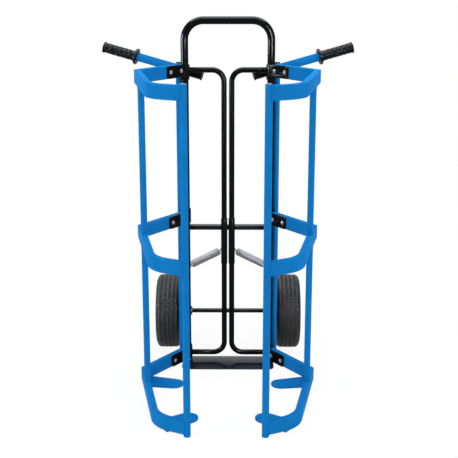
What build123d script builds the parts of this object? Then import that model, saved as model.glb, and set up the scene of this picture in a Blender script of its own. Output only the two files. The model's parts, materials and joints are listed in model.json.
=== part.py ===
from build123d import *
import math
import os

os.makedirs("parts", exist_ok=True)

# Driving dimensions in millimetres: X to the right, Y to the back, Z up, floor at Z 0
leg_x = 139.5
leg_diameter = 25.0
leg_wall = 2.0
loop_top_z = 1160.0
loop_bend = 61.0
toe_plate_overhang = 17.5
toe_plate_reach = 90.0
toe_plate_back = 17.0
toe_plate_thickness = 5.0
toe_plate_corner = 22.0
toe_plate_bevel = 1.7
cross_tube_diameter = 20.0
cross_tube_z = 473.0
cross_tube_past_leg = 0.5
push_bar_diameter = 18.0
push_bar_x = 12.6
push_bar_bend = 38.0
push_bar_wall = 2.0
push_sleeve_diameter = 21.5
push_sleeve_foot_z = 351.0
push_sleeve_top_z = 509.0
moving_gap = 0.3
weld_gap = 0.1
running_gap = 0.05

# Wing made of three bent box tubes and three upright tubes
band_height = 42.0
band_thickness = 20.0
band_wall = 2.0
band_edge_round = 3.0
top_band_drop = 156.8
middle_band_z = 513.8
back_section_angle = 54.2
band_across = 2.2
band_inner_reach = 22.0
corner_reach = 227.3
front_bend_point = (208.8, -529.8)
front_bend = 94.7
upright_diameter = 21.0
upright_wall = 2.0
front_upright_point = (114.3, -576.0)
front_upright_above_band = 2.8
outer_upright_diameter = 20.0
outer_upright_reach = 110.0
back_upright_diameter = 20.0
back_upright_angle = 39.0
back_upright_foot = 10.0
back_upright_below_band = 0.2
cap_inset = {"front": 2.3, "back": 1.1}
cap_thickness = {"front": 1.5, "back": 2.8}
cap_round = {"front": 0.8, "back": 1.3}
cap_plug = 12.0
tongue_thickness = 6.5
tongue_tip_radius = 31.5
tongue_root_half_width = 38.0
rear_tongue_point = (174.5, -214.0)
rear_tongue_angle = 11.6
rear_tongue_length = 88.0
front_tongue_point = (117.5, -464.0)
front_tongue_angle = -36.0
front_tongue_length = 98.7

# Hinge straps and their bolts
eye_wall = 3.2
eye_height = 48.0
eye_middle_shift = {"top": -6.2, "middle": 5.2, "bottom": 4.4}
strap_height = 40.0
strap_thickness = 5.0
strap_reach = 99.0
strap_end_round = 6.0
strap_inner_bolt = 33.2
strap_outer_bolt = 85.2
bolt_diameter = 6.0
bolt_hole = 6.5
bolt_head_diameter = 13.0
bolt_head_height = 4.6
bolt_head_rim = 1.2
nut_across_flats = 10.0
nut_height = 5.0
bolt_past_nut = 3.0
thrust_washer_diameter = 33.0

# Lever handles
handle_diameter = 27.5
handle_wall = 2.0
handle_sweep = 11.0
handle_rise = 14.8
handle_inner_x = 84.0
handle_below_band = 20.9
handle_outer_x = 405.0
sleeve_length = 50.0
sleeve_wall = 0.8
sleeve_rim_width = 4.0
sleeve_rim_height = 1.6
grip_start_x = 297.8
grip_diameter = 32.0
grip_bore_gap = 0.1
grip_flange_diameter = 50.0
grip_flange_thickness = 6.0
grip_flange_round = 2.0
grip_end_flange_diameter = 36.0
grip_rib_pitch = 7.0
grip_rib_depth = 1.0
grip_rib_width = 3.9
grip_first_rib = 4.2
grip_end_wall = 4.0

# Wheels and their axle
wheel_diameter = 260.0
wheel_middle_x = 211.0
axle_diameter = 16.0
axle_y = 140.0
bracket_thickness = 5.0
bracket_top_z = 352.0
bracket_foot_z = 108.0
bracket_top_depth = 36.0
bracket_axle_round = 24.0
boss_diameter = 32.0
boss_length = 20.0
hub_half_length = 35.0
hub_diameter = 42.0
hub_bore = 31.0
bearing_outer = 35.0
bearing_width = 11.0
bearing_ring = 3.0
bearing_seal_depth = 1.0
tyre_half_width = 41.8
tyre_wall = 7.0
tread_half_width = 28.4
tread_groove_count = 4
tread_groove_spacing = 14.6
tyre_groove_depth = 5.0
tyre_groove_width = 4.0
shoulder_middle_drop = 4.5
shoulder_middle_half_width = 36.6
shoulder_drop = 14.0
shoulder_inset = 1.0
wall_middle_drop = 40.0
bead_height = 12.5
bead_width = 9.0
bead_seat_gap = 0.2
bead_side_gap = 0.4
bead_inner_height = 18.0
bead_inner_width = 8.0
inner_wall_drop = 36.0
inner_crown_drop = 18.0
inner_crown_half_width = 28.5
bead_radius = 51.0
rim_lip_radius = 63.0
rim_half_width = 31.0
rim_sheet = 2.5
rim_bolt_circle = 36.0
rim_bolt_count = 4
rim_bolt_length = 15.0
axle_washer_diameter = 30.0
axle_washer_thickness = 3.0
axle_pin_diameter = 4.0
axle_pin_length = 27.0
axle_pin_past_washer = 4.0
axle_end_past_washer = 8.0
axle_chamfer = 1.3
spacer_diameter = 24.2

# Tension springs that pull the wings shut
spring_wire = 3.0
spring_coil_radius = 10.5
spring_pitch = 3.5
spring_hook_radius = 6.5
spring_hook_turn = 140.0
spring_lead = 15.0
cone_turns = 1.5
cone_radius = 4.5
hook_neck = 17.5
hook_button_radius = 7.5
hook_button_thickness = 3.0
push_hook_y = 18.0
push_hook_z = 397.0
bracket_lug = (131.0, 24.0, 336.0)
lug_thickness = 4.0
lug_hole = 7.0
lug_round = 7.5
hook_seat = 0.75
push_lug_root = 12.0

# Derived sizes
leg_radius = leg_diameter / 2
toe_plate_half_width = leg_x + toe_plate_overhang
bottom_band_z = tongue_thickness + weld_gap + band_height / 2
band_middle_z = {"top": loop_top_z - top_band_drop, "middle": middle_band_z, "bottom": bottom_band_z}
band_top_z = band_middle_z["top"] + band_height / 2
front_upright_top = band_top_z + front_upright_above_band
back_upright_top = band_top_z - back_upright_below_band
handle_inner_z = band_middle_z["top"] - handle_below_band
axle_z = wheel_diameter / 2
eye_inner_radius = leg_radius + running_gap
eye_outer_radius = eye_inner_radius + eye_wall
band_front = band_across - band_thickness / 2
band_back = band_across + band_thickness / 2
strap_front = band_front - strap_thickness
back_upright_distance = eye_outer_radius + back_upright_diameter / 2 + weld_gap
cross_tube_y = push_sleeve_diameter / 2 + moving_gap + cross_tube_diameter / 2
cross_tube_length = 2 * (leg_x + cross_tube_past_leg)
sides = {"left": -1, "right": 1}
levels = list(band_middle_z)


def wing_point(side, along, across, height=0.0):
    """A point of a wing: along its back section from the leg, across to the outside"""
    turn = math.radians(back_section_angle)
    x = leg_x + along * math.cos(turn) + across * math.sin(turn)
    y = -along * math.sin(turn) + across * math.cos(turn)
    return Vector(side * x, y, height)


def wing_direction(side, along, across):
    return (wing_point(side, along, across) - wing_point(side, 0, 0)).normalized()


def tube_profile(start, tangent, outer, wall):
    """The ring that a tube's path is swept with"""
    with BuildSketch(Plane(origin=start, z_dir=tangent)) as ring:
        Circle(outer)
        Circle(outer - wall, mode=Mode.SUBTRACT)
    return ring.sketch


def eye_middle(level):
    return band_middle_z[level] + eye_middle_shift[level]


def back_upright_axis(side):
    turn = math.radians(back_upright_angle)
    x = leg_x + back_upright_distance * math.cos(turn)
    return Vector(side * x, back_upright_distance * math.sin(turn), 0)


def band_path_points(side, height):
    inner = wing_point(side, band_inner_reach, band_across, height)
    corner = wing_point(side, corner_reach, band_across, height)
    front = Vector(side * front_bend_point[0], front_bend_point[1], height)
    end = Vector(side * front_upright_point[0], front_upright_point[1], height)
    return inner, corner, front, end


def outer_upright_axis(side):
    """The outer upright stands on the side sections of the bands, in front of their corner"""
    inner, corner, front, end = band_path_points(side, 0)
    return corner + (front - corner).normalized() * outer_upright_reach


def handle_place(side, x):
    """A point on the middle line of a lever handle, by its distance from the middle of the trolley"""
    upright = back_upright_axis(1)
    sweep_angle = math.radians(handle_sweep)
    offset = back_upright_diameter / 2 + handle_diameter / 2 + weld_gap
    past_upright = x - upright.X + offset * math.sin(sweep_angle)
    y = upright.Y + offset * math.cos(sweep_angle) + past_upright * math.tan(sweep_angle)
    z = handle_inner_z + (x - handle_inner_x) * math.tan(math.radians(handle_rise))
    return Vector(side * x, y, z)


def half_section(half, *points):
    """The same points of a wheel section on its left or right half"""
    return [(out, half * across) for out, across in points]


# Main frame: one tube bent into a tall loop, standing on the toe plate
with BuildPart() as main_frame:
    with BuildLine() as loop_line:
        FilletPolyline(
            (-leg_x, 0, toe_plate_thickness),
            (-leg_x, 0, loop_top_z),
            (leg_x, 0, loop_top_z),
            (leg_x, 0, toe_plate_thickness),
            radius=loop_bend,
        )
    sweep(tube_profile(loop_line.line @ 0, loop_line.line % 0, leg_radius, leg_wall), path=loop_line.line)
main_frame.part.label = "main_frame"
export_step(main_frame.part, "parts/main_frame.step")

with BuildPart() as toe_plate:
    with BuildSketch():
        with Locations((0, (toe_plate_back - toe_plate_reach) / 2)):
            Rectangle(2 * toe_plate_half_width, toe_plate_back + toe_plate_reach)
    extrude(amount=toe_plate_thickness)
    fillet(toe_plate.edges().filter_by(Axis.Z).group_by(Axis.Y)[0], toe_plate_corner)
    chamfer(toe_plate.faces().sort_by(Axis.Z)[-1].edges().group_by(Axis.Y)[0], toe_plate_bevel)
toe_plate.part.label = "toe_plate"
export_step(toe_plate.part, "parts/toe_plate.step")

# The cross tube is coped on the backs of the legs, and the sleeves of the push bars close against it
with BuildPart() as cross_tube:
    with Locations(Location((0, cross_tube_y, cross_tube_z), (0, 90, 0))):
        Cylinder(cross_tube_diameter / 2, cross_tube_length)
        Cylinder(cross_tube_diameter / 2 - leg_wall, cross_tube_length, mode=Mode.SUBTRACT)
    with Locations((-leg_x, 0, cross_tube_z), (leg_x, 0, cross_tube_z)):
        Cylinder(leg_radius, 3 * cross_tube_diameter, mode=Mode.SUBTRACT)
cross_tube.part.label = "cross_tube"
export_step(cross_tube.part, "parts/cross_tube.step")

with BuildPart() as hinge_washers:
    eye_foot = eye_middle("bottom") - eye_height / 2
    strap_foot = band_middle_z["bottom"] - strap_height / 2
    washer_height = min(eye_foot, strap_foot) - moving_gap - toe_plate_thickness
    with Locations((-leg_x, 0, toe_plate_thickness), (leg_x, 0, toe_plate_thickness)):
        Cylinder(thrust_washer_diameter / 2, washer_height, align=(Align.CENTER, Align.CENTER, Align.MIN))
        Cylinder(
            leg_radius + weld_gap,
            washer_height,
            align=(Align.CENTER, Align.CENTER, Align.MIN),
            mode=Mode.SUBTRACT,
        )
hinge_washers.part.label = "hinge_washers"
export_step(hinge_washers.part, "parts/hinge_washers.step")

# Wheel brackets: a gusset plate behind each leg with a boss for the axle
for side_name, side in sides.items():
    with BuildPart() as wheel_bracket:
        with BuildSketch(Plane.YZ.offset(side * leg_x - bracket_thickness / 2)):
            with BuildLine():
                Polyline(
                    (0, bracket_foot_z),
                    (0, bracket_top_z),
                    (bracket_top_depth, bracket_top_z),
                    (axle_y + bracket_axle_round, axle_z + bracket_axle_round / 2),
                    (axle_y + bracket_axle_round, bracket_foot_z),
                    close=True,
                )
            make_face()
            fillet(vertices().group_by(Axis.X)[-1], bracket_axle_round / 2)
        extrude(amount=bracket_thickness)
        with Locations(Location((side * leg_x, axle_y, axle_z), (0, 90, 0))):
            Cylinder(boss_diameter / 2, boss_length)
            Cylinder(axle_diameter / 2 + weld_gap, boss_length, mode=Mode.SUBTRACT)
        with Locations((side * leg_x, 0, (bracket_top_z + bracket_foot_z) / 2)):
            Cylinder(leg_radius, 2 * bracket_top_z, mode=Mode.SUBTRACT)
    wheel_bracket.part.label = side_name + "_wheel_bracket"
    export_step(wheel_bracket.part, "parts/" + side_name + "_wheel_bracket.step")

axle_washer_end = wheel_middle_x + hub_half_length + axle_washer_thickness
axle_half_length = axle_washer_end + axle_end_past_washer
axle_pin_x = axle_washer_end + axle_pin_past_washer
with BuildPart() as axle:
    with Locations(Location((0, axle_y, axle_z), (0, 90, 0))):
        Cylinder(axle_diameter / 2, 2 * axle_half_length)
    chamfer(axle.edges().filter_by(GeomType.CIRCLE), axle_chamfer)
    with Locations((-axle_pin_x, axle_y, axle_z), (axle_pin_x, axle_y, axle_z)):
        Cylinder(axle_pin_diameter / 2 + weld_gap, 2 * axle_diameter, mode=Mode.SUBTRACT)
axle.part.label = "axle"
export_step(axle.part, "parts/axle.step")

with BuildPart() as axle_pins:
    with Locations((-axle_pin_x, axle_y, axle_z), (axle_pin_x, axle_y, axle_z)):
        Cylinder(axle_pin_diameter / 2, axle_pin_length)
axle_pins.part.label = "axle_pins"
export_step(axle_pins.part, "parts/axle_pins.step")

with BuildPart() as axle_washers:
    washer_x = wheel_middle_x + hub_half_length + moving_gap + axle_washer_thickness / 2
    for x in (-washer_x, washer_x):
        with Locations(Location((x, axle_y, axle_z), (0, 90, 0))):
            Cylinder(axle_washer_diameter / 2, axle_washer_thickness - moving_gap)
            Cylinder(axle_diameter / 2 + weld_gap, axle_washer_thickness, mode=Mode.SUBTRACT)
axle_washers.part.label = "axle_washers"
export_step(axle_washers.part, "parts/axle_washers.step")

with BuildPart() as axle_spacers:
    spacer_start = leg_x + boss_length / 2
    spacer_end = wheel_middle_x - hub_half_length - moving_gap
    for side in sides.values():
        spacer_place = (side * (spacer_start + spacer_end) / 2, axle_y, axle_z)
        with Locations(Location(spacer_place, (0, 90, 0))):
            Cylinder(spacer_diameter / 2, spacer_end - spacer_start)
            Cylinder(axle_diameter / 2 + weld_gap, spacer_end - spacer_start, mode=Mode.SUBTRACT)
axle_spacers.part.label = "axle_spacers"
export_step(axle_spacers.part, "parts/axle_spacers.step")

# Wheels: a ribbed tyre on a two-piece pressed rim, with a tube hub and two ball bearings
for side_name, side in sides.items():
    wheel_plane = Plane(origin=(side * wheel_middle_x, axle_y, axle_z), x_dir=(0, 0, 1), z_dir=(0, -1, 0))
    wheel_axis = Axis((side * wheel_middle_x, axle_y, axle_z), (1, 0, 0))
    radius = wheel_diameter / 2
    bead_side = rim_half_width - rim_sheet - bead_side_gap
    crown_edge = (radius, tread_half_width)
    shoulder_middle = (radius - shoulder_middle_drop, shoulder_middle_half_width)
    shoulder = (radius - shoulder_drop, tyre_half_width - shoulder_inset)
    wall_middle = (radius - wall_middle_drop, tyre_half_width)
    lip = (bead_radius + bead_height, bead_side)
    bead_heel = (bead_radius + bead_seat_gap, bead_side)
    bead_toe = (bead_radius + bead_seat_gap, bead_side - bead_width)
    bead_top = (bead_radius + bead_inner_height, bead_side - bead_inner_width)
    inner_wall_middle = (radius - inner_wall_drop, tyre_half_width - tyre_wall)
    inner_crown = (radius - inner_crown_drop, inner_crown_half_width)
    with BuildPart() as tyre:
        with BuildSketch(wheel_plane):
            with BuildLine():
                for half in (-1, 1):
                    ThreePointArc(*half_section(half, crown_edge, shoulder_middle, shoulder))
                    ThreePointArc(*half_section(half, shoulder, wall_middle, lip))
                    Polyline(*half_section(half, lip, bead_heel, bead_toe, bead_top))
                    ThreePointArc(*half_section(half, bead_top, inner_wall_middle, inner_crown))
                Line(*half_section(-1, crown_edge), crown_edge)
                Line(*half_section(-1, inner_crown), inner_crown)
            make_face()
            with Locations((radius, 0)):
                with GridLocations(0, tread_groove_spacing, 1, tread_groove_count):
                    Rectangle(2 * tyre_groove_depth, tyre_groove_width, mode=Mode.SUBTRACT)
        revolve(axis=wheel_axis)
    tyre.part.label = side_name + "_tyre"
    export_step(tyre.part, "parts/" + side_name + "_tyre.step")

    with BuildPart() as rim:
        for half in (-1, 1):
            with BuildSketch(wheel_plane):
                with BuildLine():
                    half_web = half * (rim_sheet + weld_gap / 2)
                    half_lip = half * rim_half_width
                    half_seat = half * (rim_half_width - rim_sheet)
                    half_start = half * weld_gap / 2
                    Polyline(
                        (hub_diameter / 2 + weld_gap, half_start),
                        (bead_radius, half_start),
                        (bead_radius, half_seat),
                        (rim_lip_radius, half_seat),
                        (rim_lip_radius, half_lip),
                        (bead_radius - rim_sheet, half_lip),
                        (bead_radius - rim_sheet, half_web),
                        (hub_diameter / 2 + weld_gap, half_web),
                        close=True,
                    )
                make_face()
            revolve(axis=wheel_axis)
        with Locations(Location((side * wheel_middle_x, axle_y, axle_z), (0, 90, 0))):
            with PolarLocations(rim_bolt_circle, rim_bolt_count):
                Cylinder(bolt_hole / 2, 4 * rim_sheet, mode=Mode.SUBTRACT)
    rim.part.label = side_name + "_rim"
    export_step(rim.part, "parts/" + side_name + "_rim.step")

    with BuildPart() as rim_bolts:
        with Locations(Location((side * wheel_middle_x, axle_y, axle_z), (0, 90, 0))):
            with PolarLocations(rim_bolt_circle, rim_bolt_count):
                Cylinder(bolt_diameter / 2, rim_bolt_length)
        for end in (-1, 1):
            head_x = side * wheel_middle_x + end * (rim_sheet + weld_gap / 2)
            with BuildSketch(Plane(origin=(head_x, axle_y, axle_z), x_dir=(0, 0, 1), z_dir=(end, 0, 0))):
                with PolarLocations(rim_bolt_circle, rim_bolt_count):
                    RegularPolygon(nut_across_flats / 2, 6, major_radius=False)
            extrude(amount=nut_height)
    rim_bolts.part.label = side_name + "_rim_bolts"
    export_step(rim_bolts.part, "parts/" + side_name + "_rim_bolts.step")

    with BuildPart() as hub:
        with Locations(Location((side * wheel_middle_x, axle_y, axle_z), (0, 90, 0))):
            Cylinder(hub_diameter / 2, 2 * hub_half_length)
            Cylinder(hub_bore / 2, 2 * hub_half_length, mode=Mode.SUBTRACT)
        for end in (-1, 1):
            seat_x = side * wheel_middle_x + end * (hub_half_length - bearing_width / 2)
            with Locations(Location((seat_x, axle_y, axle_z), (0, 90, 0))):
                Cylinder(bearing_outer / 2 + weld_gap / 2, bearing_width, mode=Mode.SUBTRACT)
    hub.part.label = side_name + "_hub"
    export_step(hub.part, "parts/" + side_name + "_hub.step")

    with BuildPart() as bearings:
        for end in (-1, 1):
            seat_x = side * wheel_middle_x + end * (hub_half_length - bearing_width / 2)
            with Locations(Location((seat_x, axle_y, axle_z), (0, 90, 0))):
                Cylinder(bearing_outer / 2, bearing_width)
                Cylinder(axle_diameter / 2 + running_gap, bearing_width, mode=Mode.SUBTRACT)
        ring_faces = bearings.faces().filter_by(GeomType.PLANE)
        for face in ring_faces:
            with BuildSketch(Plane(face.center(), z_dir=face.normal_at())):
                Circle(bearing_outer / 2 - bearing_ring)
                Circle(axle_diameter / 2 + bearing_ring, mode=Mode.SUBTRACT)
            extrude(amount=-bearing_seal_depth, mode=Mode.SUBTRACT)
    bearings.part.label = side_name + "_bearings"
    export_step(bearings.part, "parts/" + side_name + "_bearings.step")

# Wings: each one turns about its leg with everything bolted and welded to it
for side_name, side in sides.items():
    along_way = wing_direction(side, 1, 0)
    across_way = wing_direction(side, 0, 1)
    front_upright = Vector(side * front_upright_point[0], front_upright_point[1], 0)
    outer_upright = outer_upright_axis(side)
    back_upright = back_upright_axis(side)

    for level in levels:
        with BuildPart() as band:
            inner, corner, front, end = band_path_points(side, band_middle_z[level])
            back_way = (corner - inner).normalized()
            side_way = (front - corner).normalized()
            front_way = (end - front).normalized()
            front_turn = math.radians(side_way.get_angle(front_way))
            front_cut = front_bend * math.tan(front_turn / 2)
            with BuildLine() as band_line:
                Line(inner, corner)
                side_line = Line(corner, front - side_way * front_cut)
                front_arc = TangentArc(side_line @ 1, front + front_way * front_cut, tangent=side_way)
                Line(front_arc @ 1, end)
            with BuildSketch(Plane(origin=inner, x_dir=(0, 0, 1), z_dir=back_way)):
                RectangleRounded(band_height, band_thickness, band_edge_round)
                RectangleRounded(
                    band_height - 2 * band_wall,
                    band_thickness - 2 * band_wall,
                    band_edge_round - band_wall,
                    mode=Mode.SUBTRACT,
                )
            sweep(path=band_line.line, transition=Transition.RIGHT)
            with Locations((end.X, end.Y, end.Z)):
                Cylinder(upright_diameter / 2 + weld_gap, 2 * band_height, mode=Mode.SUBTRACT)
            for reach in (strap_inner_bolt, strap_outer_bolt):
                hole_middle = wing_point(side, reach, band_across, band_middle_z[level])
                with Locations(Location(Plane(hole_middle, z_dir=across_way))):
                    Cylinder(bolt_hole / 2, 3 * band_thickness, mode=Mode.SUBTRACT)
        band.part.label = side_name + "_" + level + "_band"
        export_step(band.part, "parts/" + side_name + "_" + level + "_band.step")

    upright_plans = {
        "front": (front_upright, 0.0, front_upright_top, upright_diameter),
        "back": (back_upright, back_upright_foot, back_upright_top, back_upright_diameter),
    }
    for place, (axis_point, foot, top, diameter) in upright_plans.items():
        with BuildPart() as upright:
            with Locations((axis_point.X, axis_point.Y, (foot + top) / 2)):
                Cylinder(diameter / 2, top - foot)
                Cylinder(diameter / 2 - upright_wall, top - foot, mode=Mode.SUBTRACT)
        upright.part.label = side_name + "_" + place + "_upright"
        export_step(upright.part, "parts/" + side_name + "_" + place + "_upright.step")

    # The outer upright is two lengths of tube, each welded between two bands
    with BuildPart() as outer_uprights:
        for lower, upper in (("bottom", "middle"), ("middle", "top")):
            foot = band_middle_z[lower] + band_height / 2 + weld_gap
            top = band_middle_z[upper] - band_height / 2 - weld_gap
            with Locations((outer_upright.X, outer_upright.Y, (foot + top) / 2)):
                Cylinder(outer_upright_diameter / 2, top - foot)
                Cylinder(outer_upright_diameter / 2 - upright_wall, top - foot, mode=Mode.SUBTRACT)
    outer_uprights.part.label = side_name + "_outer_upright"
    export_step(outer_uprights.part, "parts/" + side_name + "_outer_upright.step")

    for place in ("front", "back"):
        axis_point, foot, top, diameter = upright_plans[place]
        with BuildPart() as cap:
            with Locations((axis_point.X, axis_point.Y, top)):
                Cylinder(
                    diameter / 2 - cap_inset[place],
                    cap_thickness[place],
                    align=(Align.CENTER, Align.CENTER, Align.MIN),
                )
            fillet(cap.edges().group_by(Axis.Z)[-1], cap_round[place])
            with Locations((axis_point.X, axis_point.Y, top)):
                Cylinder(
                    diameter / 2 - upright_wall - weld_gap,
                    cap_plug,
                    align=(Align.CENTER, Align.CENTER, Align.MAX),
                )
        cap.part.label = side_name + "_" + place + "_cap"
        export_step(cap.part, "parts/" + side_name + "_" + place + "_cap.step")

    tongue_plans = {
        "rear": (rear_tongue_point, rear_tongue_angle, rear_tongue_length),
        "front": (front_tongue_point, front_tongue_angle, front_tongue_length),
    }
    with BuildPart() as tongues:
        for point, angle, length in tongue_plans.values():
            turn = math.radians(angle)
            way = Vector(side * math.cos(turn), math.sin(turn), 0)
            root_distance = math.hypot(length, tongue_root_half_width)
            touch = math.atan2(tongue_root_half_width, length) + math.acos(tongue_tip_radius / root_distance)
            touch_along = tongue_tip_radius * math.cos(touch)
            touch_across = tongue_tip_radius * math.sin(touch)
            with BuildSketch(Plane(origin=(side * point[0], point[1], 0), x_dir=way, z_dir=(0, 0, 1))):
                Circle(tongue_tip_radius)
                with BuildLine():
                    Polyline(
                        (touch_along, touch_across),
                        (length, tongue_root_half_width),
                        (length, -tongue_root_half_width),
                        (touch_along, -touch_across),
                        close=True,
                    )
                make_face()
            extrude(amount=tongue_thickness)
    tongues.part.label = side_name + "_floor_tongues"
    export_step(tongues.part, "parts/" + side_name + "_floor_tongues.step")

    with BuildPart() as straps:
        for level in levels:
            with Locations((side * leg_x, 0, eye_middle(level))):
                Cylinder(eye_outer_radius, eye_height)
            strap_start = wing_point(side, 0, strap_front, band_middle_z[level])
            with BuildSketch(Plane(origin=strap_start, x_dir=along_way, z_dir=across_way)):
                with Locations((strap_reach / 2, 0)):
                    Rectangle(strap_reach, strap_height)
                fillet(vertices().group_by(SortBy.DISTANCE)[-1], strap_end_round)
                with Locations((strap_inner_bolt, 0), (strap_outer_bolt, 0)):
                    Circle(bolt_hole / 2, mode=Mode.SUBTRACT)
            extrude(amount=strap_thickness)
        with Locations((side * leg_x, 0, loop_top_z / 2)):
            Cylinder(eye_inner_radius, 2 * loop_top_z, mode=Mode.SUBTRACT)
    straps.part.label = side_name + "_hinge_straps"
    export_step(straps.part, "parts/" + side_name + "_hinge_straps.step")

    bolt_planes = []
    for level in levels:
        for reach in (strap_inner_bolt, strap_outer_bolt):
            bolt_point = wing_point(side, reach, strap_front, band_middle_z[level])
            bolt_planes.append(Plane(bolt_point, x_dir=(0, 0, 1), z_dir=across_way))
    grip_length = strap_thickness + band_thickness
    shank_end = grip_length + nut_height + bolt_past_nut
    head_radius = bolt_head_diameter / 2
    shank_radius = bolt_diameter / 2
    dome_rise = bolt_head_height - bolt_head_rim
    dome_radius = (head_radius ** 2 + dome_rise ** 2) / (2 * dome_rise)
    dome_middle = bolt_head_height - dome_radius
    dome_turn = (math.pi / 2 + math.asin((bolt_head_rim - dome_middle) / dome_radius)) / 2
    with BuildPart() as hinge_bolts:
        for plane in bolt_planes:
            head_side = Vector(0, 0, 1).cross(-across_way)
            with BuildSketch(Plane(plane.origin, x_dir=(0, 0, 1), z_dir=head_side)):
                with BuildLine():
                    Polyline(
                        (0, bolt_head_height),
                        (0, -shank_end),
                        (shank_radius, -shank_end),
                        (shank_radius, 0),
                        (head_radius, 0),
                        (head_radius, bolt_head_rim),
                    )
                    ThreePointArc(
                        (head_radius, bolt_head_rim),
                        (dome_radius * math.cos(dome_turn), dome_middle + dome_radius * math.sin(dome_turn)),
                        (0, bolt_head_height),
                    )
                make_face()
            revolve(axis=Axis(plane.origin, across_way))
    hinge_bolts.part.label = side_name + "_hinge_bolts"
    export_step(hinge_bolts.part, "parts/" + side_name + "_hinge_bolts.step")

    with BuildPart() as hinge_nuts:
        for plane in bolt_planes:
            with BuildSketch(plane.offset(grip_length)):
                RegularPolygon(nut_across_flats / 2, 6, major_radius=False)
                Circle(bolt_diameter / 2 + weld_gap, mode=Mode.SUBTRACT)
            extrude(amount=nut_height)
    hinge_nuts.part.label = side_name + "_hinge_nuts"
    export_step(hinge_nuts.part, "parts/" + side_name + "_hinge_nuts.step")

    with BuildPart() as push_bar:
        with BuildLine() as push_line:
            FilletPolyline(
                (side * leg_x, 0, band_middle_z["top"]),
                (side * push_bar_x, 0, band_middle_z["top"]),
                (side * push_bar_x, 0, band_middle_z["bottom"]),
                (side * leg_x, 0, band_middle_z["bottom"]),
                radius=push_bar_bend,
            )
        push_start = push_line.line @ 0
        push_tangent = push_line.line % 0
        sweep(tube_profile(push_start, push_tangent, push_bar_diameter / 2, push_bar_wall), path=push_line.line)
        with Locations((side * leg_x, 0, loop_top_z / 2)):
            Cylinder(eye_outer_radius + weld_gap / 2, 2 * loop_top_z, mode=Mode.SUBTRACT)
    push_bar.part.label = side_name + "_push_bar"
    export_step(push_bar.part, "parts/" + side_name + "_push_bar.step")

    # Handle: a straight tube across the back of the back upright, with a sleeve and a ribbed grip
    handle_start = handle_place(side, handle_inner_x)
    handle_end = handle_place(side, handle_outer_x)
    grip_start = handle_place(side, grip_start_x)
    handle_way = (handle_end - handle_start).normalized()
    handle_length = (handle_end - handle_start).length
    with BuildPart() as handle_tube:
        with BuildSketch(Plane(handle_start, z_dir=handle_way)):
            Circle(handle_diameter / 2)
            Circle(handle_diameter / 2 - handle_wall, mode=Mode.SUBTRACT)
        extrude(amount=handle_length)
    handle_tube.part.label = side_name + "_handle_tube"
    export_step(handle_tube.part, "parts/" + side_name + "_handle_tube.step")

    with BuildPart() as handle_sleeve:
        sleeve_plane = Plane(handle_start - handle_way * (sleeve_wall + weld_gap), z_dir=handle_way)
        with BuildSketch(sleeve_plane):
            Circle(handle_diameter / 2 + weld_gap / 2 + sleeve_wall)
        extrude(amount=sleeve_length)
        with BuildSketch(sleeve_plane):
            Circle(handle_diameter / 2 + weld_gap / 2 + sleeve_wall + sleeve_rim_height)
        extrude(amount=sleeve_rim_width)
        with BuildSketch(sleeve_plane.offset(sleeve_wall)):
            Circle(handle_diameter / 2 + weld_gap / 2)
        extrude(amount=sleeve_length, mode=Mode.SUBTRACT)
    handle_sleeve.part.label = side_name + "_handle_sleeve"
    export_step(handle_sleeve.part, "parts/" + side_name + "_handle_sleeve.step")

    with BuildPart() as handle_grip:
        grip_length_all = (handle_end - grip_start).length + grip_end_wall
        grip_plane = Plane(grip_start, x_dir=(0, 1, 0), z_dir=handle_way)
        rib_count = int((grip_length_all - grip_flange_thickness - 2 * grip_end_wall) / grip_rib_pitch)
        with BuildSketch(grip_plane):
            Circle(grip_flange_diameter / 2)
        extrude(amount=grip_flange_thickness)
        fillet(handle_grip.edges().filter_by(GeomType.CIRCLE), grip_flange_round)
        with BuildSketch(grip_plane.offset(grip_flange_thickness / 2)):
            Circle(grip_diameter / 2 - grip_rib_depth)
        extrude(amount=grip_length_all - grip_flange_thickness / 2)
        for rib in range(rib_count):
            with BuildSketch(grip_plane.offset(grip_flange_thickness + grip_first_rib + rib * grip_rib_pitch)):
                Circle(grip_diameter / 2)
            extrude(amount=grip_rib_width)
        with BuildSketch(grip_plane.offset(grip_length_all - grip_end_wall)):
            Circle(grip_end_flange_diameter / 2)
        extrude(amount=grip_end_wall)
        with BuildSketch(grip_plane):
            Circle(handle_diameter / 2 + grip_bore_gap)
        extrude(amount=grip_length_all - grip_end_wall + weld_gap, mode=Mode.SUBTRACT)
    handle_grip.part.label = side_name + "_handle_grip"
    export_step(handle_grip.part, "parts/" + side_name + "_handle_grip.step")


def arc_pair(start, start_way, end, end_way):
    """Two arcs that meet smoothly between two places with given directions"""
    chord = end - start
    sum_way = start_way + end_way
    spread = 2 * (1 - start_way.dot(end_way))
    lean = chord.dot(sum_way)
    if spread < 1e-6:
        reach = chord.dot(chord) / (2 * lean)
    else:
        reach = (-lean + math.sqrt(lean * lean + spread * chord.dot(chord))) / spread
    middle = (start + end + (start_way - end_way) * reach) * 0.5
    first = TangentArc(start, middle, tangent=start_way)
    second = TangentArc(middle, end, tangent=first % 1)
    return first, second


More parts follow.
